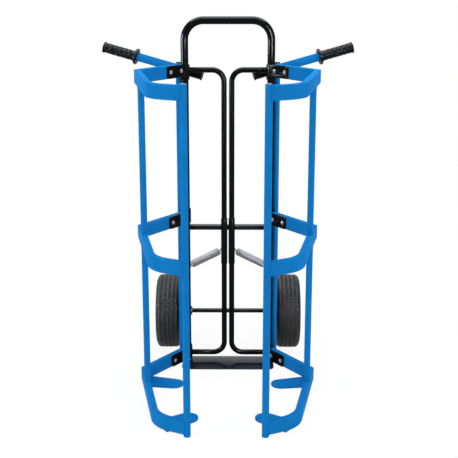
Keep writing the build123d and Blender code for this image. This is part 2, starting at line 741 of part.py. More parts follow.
# Springs: closed-wound wire, hooked in the frame's lug, drawn in at the other end around a turning hook
for side_name, side in sides.items():
    inner_hook = Vector(side * push_bar_x, push_hook_y, push_hook_z)
    outer_hook = Vector(side * bracket_lug[0], bracket_lug[1], bracket_lug[2])
    spring_way = (outer_hook - inner_hook).normalized()
    spring_side = spring_way.cross(Vector(0, 0, 1)).normalized()
    spring_up = spring_side.cross(spring_way).normalized()
    spring_length = (outer_hook - inner_hook).length
    coil_start = hook_neck + cone_turns * spring_pitch
    turns = int((spring_length - coil_start - spring_lead) / spring_pitch)
    hook_end = math.radians(spring_hook_turn)

    def coil_radius(turn):
        if turn >= 0:
            return spring_coil_radius
        return spring_coil_radius + (spring_coil_radius - cone_radius) * turn / cone_turns

    def coil_place(turn):
        angle = 2 * math.pi * turn
        spoke = spring_up * math.cos(angle) + spring_side * math.sin(angle)
        middle = inner_hook + spring_way * (coil_start + turn * spring_pitch)
        return middle + spoke * coil_radius(turn)

    def coil_way(turn):
        step = 0.001
        return (coil_place(turn + step) - coil_place(turn - step)).normalized()

    def inner_hook_place(angle):
        spoke = spring_up * math.sin(angle) - spring_way * math.cos(angle)
        return inner_hook + spring_way * spring_hook_radius + spoke * spring_hook_radius

    def outer_hook_place(angle):
        spoke = spring_up * math.cos(angle) + spring_way * math.sin(angle)
        return outer_hook - spring_way * spring_hook_radius + spoke * spring_hook_radius

    with BuildPart() as spring:
        with BuildLine() as wire:
            for half_turn in range(-int(2 * cone_turns), 2 * turns):
                arc_pair(
                    coil_place(half_turn / 2),
                    coil_way(half_turn / 2),
                    coil_place(half_turn / 2 + 0.5),
                    coil_way(half_turn / 2 + 0.5),
                )
            arc_pair(coil_place(turns), coil_way(turns), outer_hook_place(0), spring_way)
            ThreePointArc(outer_hook_place(0), outer_hook_place(math.pi / 4), outer_hook_place(math.pi / 2))
            ThreePointArc(
                outer_hook_place(math.pi / 2),
                outer_hook_place(math.pi / 2 + hook_end / 2),
                outer_hook_place(math.pi / 2 + hook_end),
            )
        with BuildSketch(Plane(wire.line @ 0, z_dir=wire.line % 0)):
            Circle(spring_wire / 2)
        sweep(path=wire.line)
    spring.part.label = side_name + "_spring"
    export_step(spring.part, "parts/" + side_name + "_spring.step")

    with BuildPart() as spring_hook:
        with BuildLine() as hook_wire:
            ThreePointArc(inner_hook_place(-hook_end), inner_hook_place(-hook_end / 2), inner_hook_place(0))
            near_arc = ThreePointArc(
                inner_hook_place(0), inner_hook_place(math.pi / 4), inner_hook_place(math.pi / 2)
            )
            neck = inner_hook + spring_way * hook_neck
            arc_pair(near_arc @ 1, spring_way, neck, spring_way)
            Line(neck, inner_hook + spring_way * (coil_start + hook_button_thickness))
        with BuildSketch(Plane(hook_wire.line @ 0, z_dir=hook_wire.line % 0)):
            Circle(spring_wire / 2)
        sweep(path=hook_wire.line)
        with BuildSketch(Plane(inner_hook + spring_way * (coil_start + weld_gap), z_dir=spring_way)):
            Circle(hook_button_radius)
        extrude(amount=hook_button_thickness)
    spring_hook.part.label = side_name + "_spring_hook"
    export_step(spring_hook.part, "parts/" + side_name + "_spring_hook.step")

    # Least gap of the wire to itself, on points along its middle line
    spring_path = wire.wires()[0]
    steps = int(spring_path.length / 1.2)
    places = [spring_path.position_at(step / steps) for step in range(steps + 1)]
    skip = int(4 * spring_wire / 1.2)
    least = min(
        (places[first] - places[second]).length
        for first in range(steps + 1)
        for second in range(first + skip, min(steps + 1, first + 130))
    )
    print(side_name, "spring turns", turns, "least gap", round(least - spring_wire, 3))

    # Each lug is tilted with its spring, so that the hook lies square in the hole and pulls on its near side
    hole_shift = spring_way * (lug_hole / 2 - spring_wire / 2 - hook_seat)
    inner_hole = inner_hook - hole_shift
    outer_hole = outer_hook + hole_shift
    # The sleeve welded on the push bar meets the cross tube and carries the lug of the spring
    with BuildPart() as push_sleeve:
        lug_foot = inner_hole - spring_up * (lug_thickness / 2)
        lug_plane = Plane(lug_foot, x_dir=spring_side * side, z_dir=spring_up)
        with BuildSketch(lug_plane):
            Circle(lug_round)
            with Locations((push_lug_root / 2, 0)):
                Rectangle(push_lug_root, 2 * lug_round)
            Circle(lug_hole / 2, mode=Mode.SUBTRACT)
        extrude(amount=lug_thickness)
        push_sleeve_length = push_sleeve_top_z - push_sleeve_foot_z
        with Locations((side * push_bar_x, 0, (push_sleeve_top_z + push_sleeve_foot_z) / 2)):
            Cylinder(push_sleeve_diameter / 2, push_sleeve_length)
            Cylinder(push_bar_diameter / 2 + weld_gap / 2, push_sleeve_length, mode=Mode.SUBTRACT)
    push_sleeve.part.label = side_name + "_push_bar_sleeve"
    export_step(push_sleeve.part, "parts/" + side_name + "_push_bar_sleeve.step")

    with BuildPart() as anchor_lug:
        lug_root = leg_x - bracket_thickness / 2 - weld_gap / 2
        root_reach = 2 * (lug_root - bracket_lug[0])
        lug_foot = outer_hole - spring_up * (lug_thickness / 2)
        with BuildSketch(Plane(lug_foot, x_dir=spring_way, z_dir=spring_up)):
            Circle(lug_round)
            with Locations((root_reach / 2, 0)):
                Rectangle(root_reach, 2 * lug_round)
            Circle(lug_hole / 2, mode=Mode.SUBTRACT)
        extrude(amount=lug_thickness)
        with Locations((side * (lug_root + 2 * lug_round), bracket_lug[1], bracket_lug[2])):
            Box(4 * lug_round, 6 * lug_round, 6 * lug_round, mode=Mode.SUBTRACT)
    anchor_lug.part.label = side_name + "_anchor_lug"
    export_step(anchor_lug.part, "parts/" + side_name + "_anchor_lug.step")
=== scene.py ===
import json
import math

import bpy
from mathutils import Matrix, Vector

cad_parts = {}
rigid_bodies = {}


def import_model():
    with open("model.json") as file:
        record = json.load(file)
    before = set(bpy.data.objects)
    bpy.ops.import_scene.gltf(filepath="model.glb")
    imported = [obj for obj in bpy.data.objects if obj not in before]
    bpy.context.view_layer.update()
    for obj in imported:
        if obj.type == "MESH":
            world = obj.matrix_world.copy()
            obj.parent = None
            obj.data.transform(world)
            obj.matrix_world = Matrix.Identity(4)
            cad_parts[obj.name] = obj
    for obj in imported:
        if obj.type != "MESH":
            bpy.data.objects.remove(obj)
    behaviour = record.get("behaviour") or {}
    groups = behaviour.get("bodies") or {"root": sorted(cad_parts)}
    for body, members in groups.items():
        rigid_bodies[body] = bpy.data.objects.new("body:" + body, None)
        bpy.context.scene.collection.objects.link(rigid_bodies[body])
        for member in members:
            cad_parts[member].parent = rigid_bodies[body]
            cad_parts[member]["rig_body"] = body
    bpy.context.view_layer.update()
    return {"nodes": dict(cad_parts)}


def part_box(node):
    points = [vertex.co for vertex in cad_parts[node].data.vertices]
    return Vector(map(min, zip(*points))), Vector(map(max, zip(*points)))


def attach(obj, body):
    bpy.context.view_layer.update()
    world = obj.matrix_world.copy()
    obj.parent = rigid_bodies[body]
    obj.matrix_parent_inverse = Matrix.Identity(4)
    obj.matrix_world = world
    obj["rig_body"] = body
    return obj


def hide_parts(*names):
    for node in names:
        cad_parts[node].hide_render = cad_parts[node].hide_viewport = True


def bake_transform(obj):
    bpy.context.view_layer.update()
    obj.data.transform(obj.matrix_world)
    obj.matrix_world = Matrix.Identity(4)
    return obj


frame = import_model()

# Main frame: one 25 mm steel tube bent into a tall loop, with a cross tube and two gusset
# plates for the axle welded behind its legs, all under one coat of gloss black powder paint.
# Each piece is the turned or bent steel itself, with its cut edges broken before painting.


def new_material(name):
    """An empty material, with its nodes and links"""
    material = bpy.data.materials.new(name)
    material.use_nodes = True
    return material, material.node_tree.nodes, material.node_tree.links


def speckle(nodes, links, scale, detail=2.0):
    """A noise texture that stays with the piece"""
    place = nodes.new("ShaderNodeTexCoord")
    noise = nodes.new("ShaderNodeTexNoise")
    noise.inputs["Scale"].default_value = scale
    noise.inputs["Detail"].default_value = detail
    links.new(place.outputs["Object"], noise.inputs["Vector"])
    return noise


def tinted(colour, share):
    """A colour made darker or paler"""
    return [min(1, part * share) for part in colour]


def two_shades(nodes, dark, pale, start=0.0, end=1.0):
    """A ramp from a dark shade to a pale one"""
    ramp = nodes.new("ShaderNodeValToRGB")
    for stop, position, colour in zip(ramp.color_ramp.elements, (start, end), (dark, pale)):
        stop.position = position
        stop.color = (*colour, 1)
    return ramp


def carried_over(nodes, to_start, to_end, start=0.0, end=1.0):
    """A value carried over from one range to another and kept inside it"""
    change = nodes.new("ShaderNodeMapRange")
    change.inputs["From Min"].default_value = start
    change.inputs["From Max"].default_value = end
    change.inputs["To Min"].default_value = to_start
    change.inputs["To Max"].default_value = to_end
    return change


def shade_and_gloss(nodes, links, cloud, shade, sheen):
    """One noise drives both the shade and the roughness of a material"""
    shader = nodes["Principled BSDF"]
    links.new(cloud.outputs["Fac"], shade.inputs["Fac"])
    links.new(cloud.outputs["Fac"], sheen.inputs["Value"])
    links.new(shade.outputs["Color"], shader.inputs["Base Color"])
    links.new(sheen.outputs["Result"], shader.inputs["Roughness"])


def fine_relief(nodes, links, texture, strength, depth):
    """The bump of a fine texture on the surface"""
    bump = nodes.new("ShaderNodeBump")
    bump.inputs["Strength"].default_value = strength
    bump.inputs["Distance"].default_value = depth
    links.new(texture.outputs["Fac"], bump.inputs["Height"])
    links.new(bump.outputs["Normal"], nodes["Principled BSDF"].inputs["Normal"])


def powder_coat(name, colour, gloss, peel, shine):
    """Baked powder paint: a faint orange-peel skin, a little uneven in shade and gloss"""
    darker, paler = 0.93, 1.06
    smoother, duller = 0.04, 0.05
    paint, nodes, links = new_material(name)
    nodes["Principled BSDF"].inputs["Specular IOR Level"].default_value = shine
    cloud = speckle(nodes, links, scale=14.0, detail=4.0)
    shade = two_shades(nodes, tinted(colour, darker), tinted(colour, paler), start=0.3, end=0.7)
    sheen = carried_over(nodes, gloss - smoother, gloss + duller)
    shade_and_gloss(nodes, links, cloud, shade, sheen)
    skin = speckle(nodes, links, scale=620.0)
    fine_relief(nodes, links, skin, strength=peel, depth=0.0002)
    return paint


def only(piece):
    """Selects one piece and makes it the active one"""
    bpy.ops.object.select_all(action="DESELECT")
    piece.select_set(True)
    bpy.context.view_layer.objects.active = piece


def edge_broken(node, broken, material):
    """A copy of a cut piece with its sharp edges rounded, as they are before painting"""
    same_place, flat_angle, sharp_angle, smooth_angle = 0.000004, 0.2, 38, 32
    source = frame["nodes"][node]
    piece = bpy.data.objects.new(node + "_finished", source.data.copy())
    bpy.context.scene.collection.objects.link(piece)
    only(piece)
    bpy.ops.object.mode_set(mode="EDIT")
    bpy.ops.mesh.select_all(action="SELECT")
    bpy.ops.mesh.remove_doubles(threshold=same_place)
    bpy.ops.mesh.dissolve_limited(angle_limit=math.radians(flat_angle))
    bpy.ops.object.mode_set(mode="OBJECT")
    if broken > 0:
        rounding = piece.modifiers.new("broken edge", "BEVEL")
        rounding.width = broken
        rounding.segments = 2
        rounding.limit_method = "ANGLE"
        rounding.angle_limit = math.radians(sharp_angle)
        rounding.use_clamp_overlap = True
        bpy.ops.object.modifier_apply(modifier=rounding.name)
    bpy.ops.object.shade_smooth_by_angle(angle=math.radians(smooth_angle))
    piece.data.materials.clear()
    piece.data.materials.append(material)
    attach(piece, source["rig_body"])
    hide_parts(node)


loop_paint = powder_coat(
    "high_gloss_black_powder_coat", (0.0024, 0.0030, 0.0042), gloss=0.12, peel=0.004, shine=0.045
)
black_paint = powder_coat(
    "gloss_black_powder_coat", (0.0030, 0.0035, 0.0045), gloss=0.15, peel=0.01, shine=0.14
)
edge_broken("main_frame", broken=0.0, material=loop_paint)
edge_broken("cross_tube", broken=0.0, material=black_paint)
for node in ("left_wheel_bracket", "right_wheel_bracket", "left_anchor_lug", "right_anchor_lug"):
    edge_broken(node, broken=0.0006, material=black_paint)

# Welds of the frame: beads along both sides of each gusset plate, around the axle bosses and
# where the cross tube sits on the backs of the legs, rippled by hand and painted over.


def weld_beads(name, routes, thick, material, body):
    """Rippled weld beads along routes of points; a route that ends where it starts is closed"""
    ripple_step, crest, dip = 0.0014, 1.12, 0.88
    same_place = 0.0001
    bead = bpy.data.curves.new(name, "CURVE")
    bead.dimensions = "3D"
    bead.bevel_depth = thick
    bead.bevel_resolution = 2
    bead.use_fill_caps = True
    for route in routes:
        places = [route[0]]
        for first, second in zip(route, route[1:]):
            parts = max(1, round((second - first).length / ripple_step))
            places += [first.lerp(second, part / parts) for part in range(1, parts + 1)]
        closed = (places[0] - places[-1]).length < same_place
        if closed:
            places.pop()
        line = bead.splines.new("POLY")
        line.points.add(len(places) - 1)
        line.use_cyclic_u = closed
        for count, (point, place) in enumerate(zip(line.points, places)):
            point.co = (*place, 1)
            point.radius = crest if count % 2 else dip
    piece = bpy.data.objects.new(name, bead)
    bpy.context.scene.collection.objects.link(piece)
    only(piece)
    bpy.ops.object.convert(target="MESH")
    piece = bpy.context.object
    bpy.ops.object.shade_smooth()
    piece.data.materials.clear()
    piece.data.materials.append(material)
    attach(piece, body)


def ring(middle, spoke_a, spoke_b, out, steps=40):
    """Points once around a circle"""
    turns = [2 * math.pi * step / steps for step in range(steps)] + [0.0]
    return [middle + (spoke_a * math.cos(t) + spoke_b * math.sin(t)) * out for t in turns]


bead_thick = 0.0014
leg_x, axle_y, axle_z = 0.1395, 0.140, 0.130
gusset_side, gusset_front, gusset_ends = 0.0034, 0.0126, (0.109, 0.351)
boss_side, boss_out = 0.0033, 0.0164
cross_y, cross_z, cross_rise, cross_ends = 0.0132, 0.473, 0.0056, (0.1325, 0.1399)
frame_welds = []
for side in (-1, 1):
    for face in (-1, 1):
        beside_gusset = side * leg_x + face * gusset_side
        frame_welds.append([Vector((beside_gusset, gusset_front, z)) for z in gusset_ends])
        boss = Vector((side * leg_x + face * boss_side, axle_y, axle_z))
        frame_welds.append(ring(boss, Vector((0, 1, 0)), Vector((0, 0, 1)), boss_out))
        height = cross_z + face * cross_rise
        frame_welds.append([Vector((side * x, cross_y, height)) for x in cross_ends])
weld_beads("frame_welds", frame_welds, bead_thick, black_paint, "frame")

# Toe plate: 5 mm steel plate under the legs, bevelled at its front edge so that it slips under
# a load, with a very smooth dark coat that mirrors the tubes above it.
plate_paint = powder_coat(
    "mirror_dark_plate_coat", (0.010, 0.015, 0.022), gloss=0.05, peel=0.002, shine=0.045
)
edge_broken("toe_plate", broken=0.0006, material=plate_paint)

# Axle set: a steel rod painted black with the frame, and on it zinc-plated spacer sleeves,
# washers and cross pins that keep the wheels in place, put on after painting.
edge_broken("axle", broken=0.0004, material=black_paint)


def zinc_plate(name, colour, rough, metallic=1.0, shine=0.5):
    """Zinc plating, bright or dull, with a fine cloudy grain from the bath"""
    darker, paler = 0.82, 1.1
    smoother, duller = 0.07, 0.1
    metal, nodes, links = new_material(name)
    shader = nodes["Principled BSDF"]
    shader.inputs["Metallic"].default_value = metallic
    shader.inputs["Specular IOR Level"].default_value = shine
    grain = speckle(nodes, links, scale=160.0, detail=5.0)
    shade = two_shades(nodes, tinted(colour, darker), tinted(colour, paler), start=0.32, end=0.68)
    sheen = carried_over(nodes, rough - smoother, rough + duller)
    shade_and_gloss(nodes, links, grain, shade, sheen)
    return metal


bright_zinc = zinc_plate("bright_zinc_plate", (0.30, 0.305, 0.32), rough=0.28)
for node in ("axle_pins", "axle_washers", "axle_spacers", "hinge_washers"):
    edge_broken(node, broken=0.0004, material=bright_zinc)

# Tyres: moulded black rubber, 260 by 84 mm, with five zigzag ribs and painted shade in the grooves
# and sidewalls.
# Each is lathed from its section, and the rib edges are then pushed to and fro.


def turned(name, section, steps):
    """A closed section, given as places along and out from the X axis, spun around that axis"""
    same_place = 0.000002
    bpy.ops.object.select_all(action="DESELECT")
    bpy.ops.mesh.primitive_circle_add(vertices=len(section), radius=0.01)
    piece = bpy.context.object
    piece.name = name
    for vertex, (along, out) in zip(piece.data.vertices, section):
        vertex.co = (along, 0, out)
    bpy.ops.object.mode_set(mode="EDIT")
    bpy.ops.mesh.select_all(action="SELECT")
    bpy.ops.mesh.spin(steps=steps, angle=2 * math.pi, center=(0, 0, 0), axis=(1, 0, 0))
    bpy.ops.mesh.select_all(action="SELECT")
    bpy.ops.mesh.remove_doubles(threshold=same_place)
    bpy.ops.mesh.normals_make_consistent(inside=False)
    bpy.ops.object.mode_set(mode="OBJECT")
    return piece


wheel_x = 0.211
tyre_rubber, nodes, links = new_material("tyre_rubber")
shader = nodes["Principled BSDF"]
shader.inputs["Specular IOR Level"].default_value = 0.14
dust = speckle(nodes, links, scale=40.0, detail=6.0)
shade = two_shades(nodes, dark=(0.016, 0.016, 0.0165), pale=(0.030, 0.029, 0.029))
sheen = carried_over(nodes, 0.55, 0.75)
place = nodes.new("ShaderNodeTexCoord")
centred = nodes.new("ShaderNodeMapping")
centred.inputs["Location"].default_value = (0, -axle_y, -axle_z)
centred.inputs["Scale"].default_value = (0, 1, 1)
from_axle = nodes.new("ShaderNodeVectorMath")
from_axle.operation = "LENGTH"
# Painted shade: everything nearer the axle than the tread crown, the groove floors and the
# sidewalls, gets a near-black rubber colour.
crown_mask_for_painted_shade = carried_over(nodes, 0.0, 1.0, start=0.1255, end=0.1288)
painted_groove_shade = nodes.new("ShaderNodeMix")
painted_groove_shade.data_type = "RGBA"
painted_groove_shade.inputs["A"].default_value = (0.002, 0.002, 0.0022, 1)
links.new(dust.outputs["Fac"], shade.inputs["Fac"])
links.new(dust.outputs["Fac"], sheen.inputs["Value"])
links.new(sheen.outputs["Result"], shader.inputs["Roughness"])
links.new(place.outputs["Object"], centred.inputs["Vector"])
links.new(centred.outputs["Vector"], from_axle.inputs[0])
links.new(from_axle.outputs["Value"], crown_mask_for_painted_shade.inputs["Value"])
links.new(crown_mask_for_painted_shade.outputs["Result"], painted_groove_shade.inputs["Factor"])
links.new(shade.outputs["Color"], painted_groove_shade.inputs["B"])
links.new(painted_groove_shade.outputs["Result"], shader.inputs["Base Color"])
fine_relief(nodes, links, speckle(nodes, links, scale=900.0), strength=0.15, depth=0.0003)

tread_steps, tread_angle = 150, 30
zigzag, zigzag_inside, zigzag_edge = 0.0042, 0.1240, 0.0250
crown_out, crown_drop = 0.1300, 0.0005
groove_places = (-0.0219, -0.0073, 0.0073, 0.0219)
groove_half, floor_share, groove_floor = 0.0026, 0.6, 0.1248
wall_half = [
    (0.0281, 0.0512), (0.0281, 0.0632), (0.0325, 0.0665), (0.0377, 0.0740), (0.0407, 0.0840),
    (0.0418, 0.0940), (0.0418, 0.1030), (0.0415, 0.1090), (0.0420, 0.1100), (0.0420, 0.1120),
    (0.0410, 0.1130), (0.0402, 0.1165), (0.0386, 0.1210), (0.0362, 0.1248), (0.0328, 0.1276),
    (0.0290, 0.1292),
]
tread = []
for middle in reversed(groove_places):
    crown = crown_out - crown_drop * (middle / groove_places[-1]) ** 2
    floor_half = groove_half * floor_share
    tread += [(middle + groove_half, crown), (middle + floor_half, groove_floor)]
    tread += [(middle - floor_half, groove_floor), (middle - groove_half, crown)]
tyre_section = wall_half + tread + [(-along, out) for along, out in reversed(wall_half)]
for side_name, side in (("left", -1), ("right", 1)):
    tyre = turned(side_name + "_tread_tyre", tyre_section, tread_steps)
    bpy.ops.object.mode_set(mode="EDIT")
    bpy.ops.mesh.select_all(action="DESELECT")
    bpy.ops.object.mode_set(mode="OBJECT")
    for push, parity in ((zigzag, 0), (-zigzag, 1)):
        for vertex in tyre.data.vertices:
            out = math.hypot(vertex.co.y, vertex.co.z)
            turn = math.atan2(vertex.co.y, vertex.co.z)
            row = round(turn / (2 * math.pi / tread_steps)) % tread_steps
            on_tread = out > zigzag_inside and abs(vertex.co.x) < zigzag_edge
            vertex.select = on_tread and row % 2 == parity
        bpy.ops.object.mode_set(mode="EDIT")
        bpy.ops.transform.translate(value=(push, 0, 0))
        bpy.ops.mesh.select_all(action="DESELECT")
        bpy.ops.object.mode_set(mode="OBJECT")
    only(tyre)
    tyre.location = (side * wheel_x, axle_y, axle_z)
    bpy.ops.object.transform_apply(location=True, rotation=True, scale=True)
    bpy.ops.object.shade_smooth_by_angle(angle=math.radians(tread_angle))
    tyre.data.materials.append(tyre_rubber)
    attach(tyre, side_name + "_wheel")
    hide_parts(side_name + "_tyre")

# Rims and hubs: two pressed steel dishes bolted back to back on a tube hub, silver painted,
# with two ball bearings in the hub and plated bolts through both dishes.
rim_paint = powder_coat("silver_rim_paint", (0.42, 0.43, 0.45), gloss=0.34, peel=0.04, shine=0.5)
bearing_steel = zinc_plate("oiled_bearing_steel", (0.3, 0.3, 0.31), rough=0.35)
for side_name in ("left", "right"):
    edge_broken(side_name + "_rim", broken=0.0006, material=rim_paint)
    edge_broken(side_name + "_hub", broken=0.0005, material=rim_paint)
    edge_broken(side_name + "_bearings", broken=0.0003, material=bearing_steel)
    edge_broken(side_name + "_rim_bolts", broken=0.0004, material=bright_zinc)

# Wings: three box tubes bent round the load, mitred at the back corner and welded to upright
# tubes, with two flat tongues under the lowest one and a lever tube behind, all powder coated
# bright blue.
blue_paint = powder_coat(
    "bright_blue_powder_coat", (0.0062, 0.170, 0.475), gloss=0.62, peel=0.04, shine=0.006
)
for side_name in ("left", "right"):
    for node in ("top_band", "middle_band", "bottom_band"):
        edge_broken(side_name + "_" + node, broken=0.0002, material=blue_paint)
    edge_broken(side_name + "_floor_tongues", broken=0.0008, material=blue_paint)
    for node in ("front_upright", "outer_upright", "back_upright", "handle_tube"):
        edge_broken(side_name + "_" + node, broken=0.0003, material=blue_paint)

# Welds of the wings: around each end of the outer uprights, around the box tubes where they meet
# the front uprights, between tongues and lowest box tube, and between lever tube and back upright.
band_heights, band_half = (0.0276, 0.5138, 1.0032), 0.021
foot_lift, foot_out = 0.0008, 0.0103
front_tube, front_away = Vector((0.1143, -0.576, 0)), Vector((0.8984, 0.4392, 0))
front_out, front_sweep, front_steps = 0.0110, 72, 8
tongue_corner, tongue_inset = Vector((0.27425, -0.18307, 0.0072)), 0.0106
tongue_seams = (
    (Vector((-0.1855, -0.9827, 0)), Vector((-0.9827, 0.1855, 0)), (0.012, 0.048)),
    (Vector((-0.5850, 0.8111, 0)), Vector((-0.8111, -0.5850, 0)), (0.010, 0.028)),
)
bend_middle, bend_out = Vector((0.1246, -0.4656, 0.0072)), 0.0841
bend_start, bend_sweep, bend_steps = -58, 44, 12
back_tube, back_out = Vector((0.15959, 0.01627, 1.0)), 0.0101
behind = Vector((-0.19081, 0.98163, 0))
lever_foot, lever_way = Vector((0.084, 0.02587, 0.9823)), Vector((0.9502, 0.1847, 0.2510))
lever_slope, lever_weld_out, lever_weld_steps = 0.2642, 0.0052, 24
for side_name, side in (("left", -1), ("right", 1)):
    mirror = Vector((side, 1, 1))
    wing_welds = []
    low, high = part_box(side_name + "_outer_upright")
    for band, up in ((0, 1), (1, -1), (1, 1), (2, -1)):
        height = band_heights[band] + up * (band_half + foot_lift)
        foot = Vector(((low[0] + high[0]) / 2, (low[1] + high[1]) / 2, height))
        wing_welds.append(ring(foot, Vector((1, 0, 0)), Vector((0, 1, 0)), foot_out))
    away = front_away * mirror
    aside = Vector((-away.y, away.x, 0))
    for height in band_heights:
        loop = []
        for half in (1, -1):
            lift = Vector((0, 0, height + half * band_half))
            for step in range(front_steps + 1):
                turn = math.radians(front_sweep * (2 * step / front_steps - 1)) * half
                spoke = away * math.cos(turn) + aside * math.sin(turn)
                loop.append(front_tube * mirror + spoke * front_out + lift)
        wing_welds.append(loop + [loop[0]])
    for way, inward, reaches in tongue_seams:
        seam = tongue_corner * mirror + inward * mirror * tongue_inset
        wing_welds.append([seam + way * mirror * reach for reach in reaches])
    bend = []
    for step in range(bend_steps + 1):
        turn = math.radians(bend_start + bend_sweep * step / bend_steps)
        spoke = Vector((math.cos(turn), math.sin(turn), 0))
        bend.append((bend_middle + spoke * bend_out) * mirror)
    wing_welds.append(bend)
    touch = back_tube + behind * back_out
    touch.z = lever_foot.z + (touch.x - lever_foot.x) * lever_slope
    along = lever_way * mirror
    upward = along.cross(behind * mirror).normalized()
    wing_welds.append(ring(touch * mirror, along, upward, lever_weld_out, lever_weld_steps))
    weld_beads(
        side_name + "_wing_welds", wing_welds, bead_thick, blue_paint,
        side_name + "_arm",
    )

# Hinge straps and push bars: black steel eyes that turn on the legs, with a plate bolted to each
# band by two domed bolts, and a C-shaped tube between the eyes that opens the wing when pushed.
satin_black = powder_coat(
    "satin_black_powder_coat", (0.0025, 0.0028, 0.0034), gloss=0.18, peel=0.01, shine=0.045
)
dark_steel = zinc_plate("dark_oiled_steel", (0.12, 0.12, 0.13), rough=0.35)
bolt_zinc = zinc_plate("dull_bolt_zinc", (0.24, 0.24, 0.26), rough=0.38, metallic=0.0, shine=0.45)
eye_heights, eye_out, eye_half = (0.0320, 0.5190, 0.9970), 0.0161, 0.023
bar_out, bar_steps = 0.0096, 32
upright_angle, upright_out, upright_half = 39, 0.0162, 0.0052
plate_way, plate_out = Vector((0.58496, -0.81106, 0)), Vector((0.81106, 0.58496, 0))
plate_reach, plate_depth, plate_half = 0.0098, 0.0131, 0.0185
for side_name, side in (("left", -1), ("right", 1)):
    edge_broken(side_name + "_hinge_straps", broken=0.0006, material=satin_black)
    edge_broken(side_name + "_push_bar", broken=0.0, material=satin_black)
    edge_broken(side_name + "_push_bar_sleeve", broken=0.0005, material=satin_black)
    mirror = Vector((side, 1, 1))
    strap_welds = []
    for height in (band_heights[0], band_heights[-1]):
        saddle = []
        for step in range(bar_steps + 1):
            turn = 2 * math.pi * (step % bar_steps) / bar_steps
            y, z = bar_out * math.cos(turn), bar_out * math.sin(turn)
            x = leg_x - math.sqrt(eye_out ** 2 - y * y)
            saddle.append(Vector((side * x, y, height + z)))
        strap_welds.append(saddle)
    leg = Vector((side * leg_x, 0, 0))
    turn = math.radians(upright_angle)
    outward = Vector((side * math.cos(turn), math.sin(turn), 0))
    beside = Vector((-outward.y, outward.x, 0))
    for eye_height, band_height in zip(eye_heights, band_heights):
        for half in (-1, 1):
            seam = leg + outward * upright_out + beside * half * upright_half
            ends = (eye_height - eye_half, eye_height + eye_half)
            strap_welds.append([seam + Vector((0, 0, end)) for end in ends])
        seam = leg + (plate_way * plate_reach - plate_out * plate_depth) * mirror
        ends = (band_height - plate_half, band_height + plate_half)
        strap_welds.append([seam + Vector((0, 0, end)) for end in ends])
    weld_beads(
        side_name + "_strap_welds", strap_welds, bead_thick, satin_black,
        side_name + "_arm",
    )
    edge_broken(side_name + "_hinge_bolts", broken=0.0002, material=bolt_zinc)
    edge_broken(side_name + "_hinge_nuts", broken=0.0003, material=bolt_zinc)
    edge_broken(side_name + "_spring_hook", broken=0.0, material=dark_steel)

# Caps and sleeves: moulded plastic plugs in the tops of the uprights, pale grey in front and
# black behind, and a black plastic sleeve over the inner end of each lever tube.


def moulded_plastic(name, colour, rough, shine):
    """Moulded plastic with the faint spark-eroded texture of its tool"""
    darker, paler = 0.88, 1.1
    plastic, nodes, links = new_material(name)
    shader = nodes["Principled BSDF"]
    shader.inputs["Roughness"].default_value = rough
    shader.inputs["Specular IOR Level"].default_value = shine
    cloud = speckle(nodes, links, scale=60.0)
    shade = two_shades(nodes, tinted(colour, darker), tinted(colour, paler))
    links.new(cloud.outputs["Fac"], shade.inputs["Fac"])
    links.new(shade.outputs["Color"], shader.inputs["Base Color"])
    fine_relief(nodes, links, speckle(nodes, links, scale=1400.0), strength=0.2, depth=0.0001)
    return plastic


grey_plastic = moulded_plastic("pale_grey_plastic", (0.13, 0.20, 0.29), rough=0.5, shine=0.03)
black_plastic = moulded_plastic("black_plastic", (0.004, 0.0042, 0.005), rough=0.38, shine=0.03)
for side_name in ("left", "right"):
    edge_broken(side_name + "_front_cap", broken=0.0003, material=grey_plastic)
    edge_broken(side_name + "_back_cap", broken=0.0003, material=black_plastic)
    edge_broken(side_name + "_handle_sleeve", broken=0.0006, material=black_plastic)

# Grips: soft black rubber pushed over the lever tubes, with rows of staggered raised pads for the
# fingers, polished by use and dull between, a wide hand guard and a flared closed end.
pad_rough, valley_rough = 0.32, 0.70
grip_rubber = moulded_plastic(
    "grip_rubber", (0.0024, 0.0036, 0.0046), rough=pad_rough, shine=0.064
)
nodes, links = grip_rubber.node_tree.nodes, grip_rubber.node_tree.links
place = nodes.new("ShaderNodeTexCoord")
both_sides = nodes.new("ShaderNodeVectorMath")
both_sides.operation = "ABSOLUTE"
from_foot = nodes.new("ShaderNodeVectorMath")
from_foot.operation = "SUBTRACT"
from_foot.inputs[1].default_value = lever_foot
beside_lever = nodes.new("ShaderNodeVectorMath")
beside_lever.operation = "CROSS_PRODUCT"
beside_lever.inputs[1].default_value = lever_way
from_lever = nodes.new("ShaderNodeVectorMath")
from_lever.operation = "LENGTH"
polish = carried_over(nodes, valley_rough, pad_rough, start=0.0156, end=0.0164)
links.new(place.outputs["Object"], both_sides.inputs[0])
links.new(both_sides.outputs["Vector"], from_foot.inputs[0])
links.new(from_foot.outputs["Vector"], beside_lever.inputs[0])
links.new(beside_lever.outputs["Vector"], from_lever.inputs[0])
links.new(from_lever.outputs["Value"], polish.inputs["Value"])
links.new(polish.outputs["Result"], nodes["Principled BSDF"].inputs["Roughness"])
lever_tip, grip_x = Vector((0.405, 0.08827, 1.06711)), 0.2978
grip_steps, grip_angle = 36, 34
pad_start, pad_length, pad_rows, pad_columns = 0.0160, 0.00822, 11, 3
pad_margin, pad_height = 0.0010, 0.0014
valley_out, valley_least, valley_most = 0.0153, 0.0146, 0.0160
grip_section = [
    (-0.0010, 0.01385), (-0.0010, 0.0247), (-0.0002, 0.0257), (0.0012, 0.0262), (0.0046, 0.0262),
    (0.0060, 0.0257), (0.0070, 0.0247), (0.0072, 0.0196), (0.0080, 0.0181), (0.0100, 0.0175),
    (0.0142, 0.0175), (0.0152, 0.0160),
]
grip_section += [(pad_start + pad_length * row, valley_out) for row in range(pad_rows + 1)]
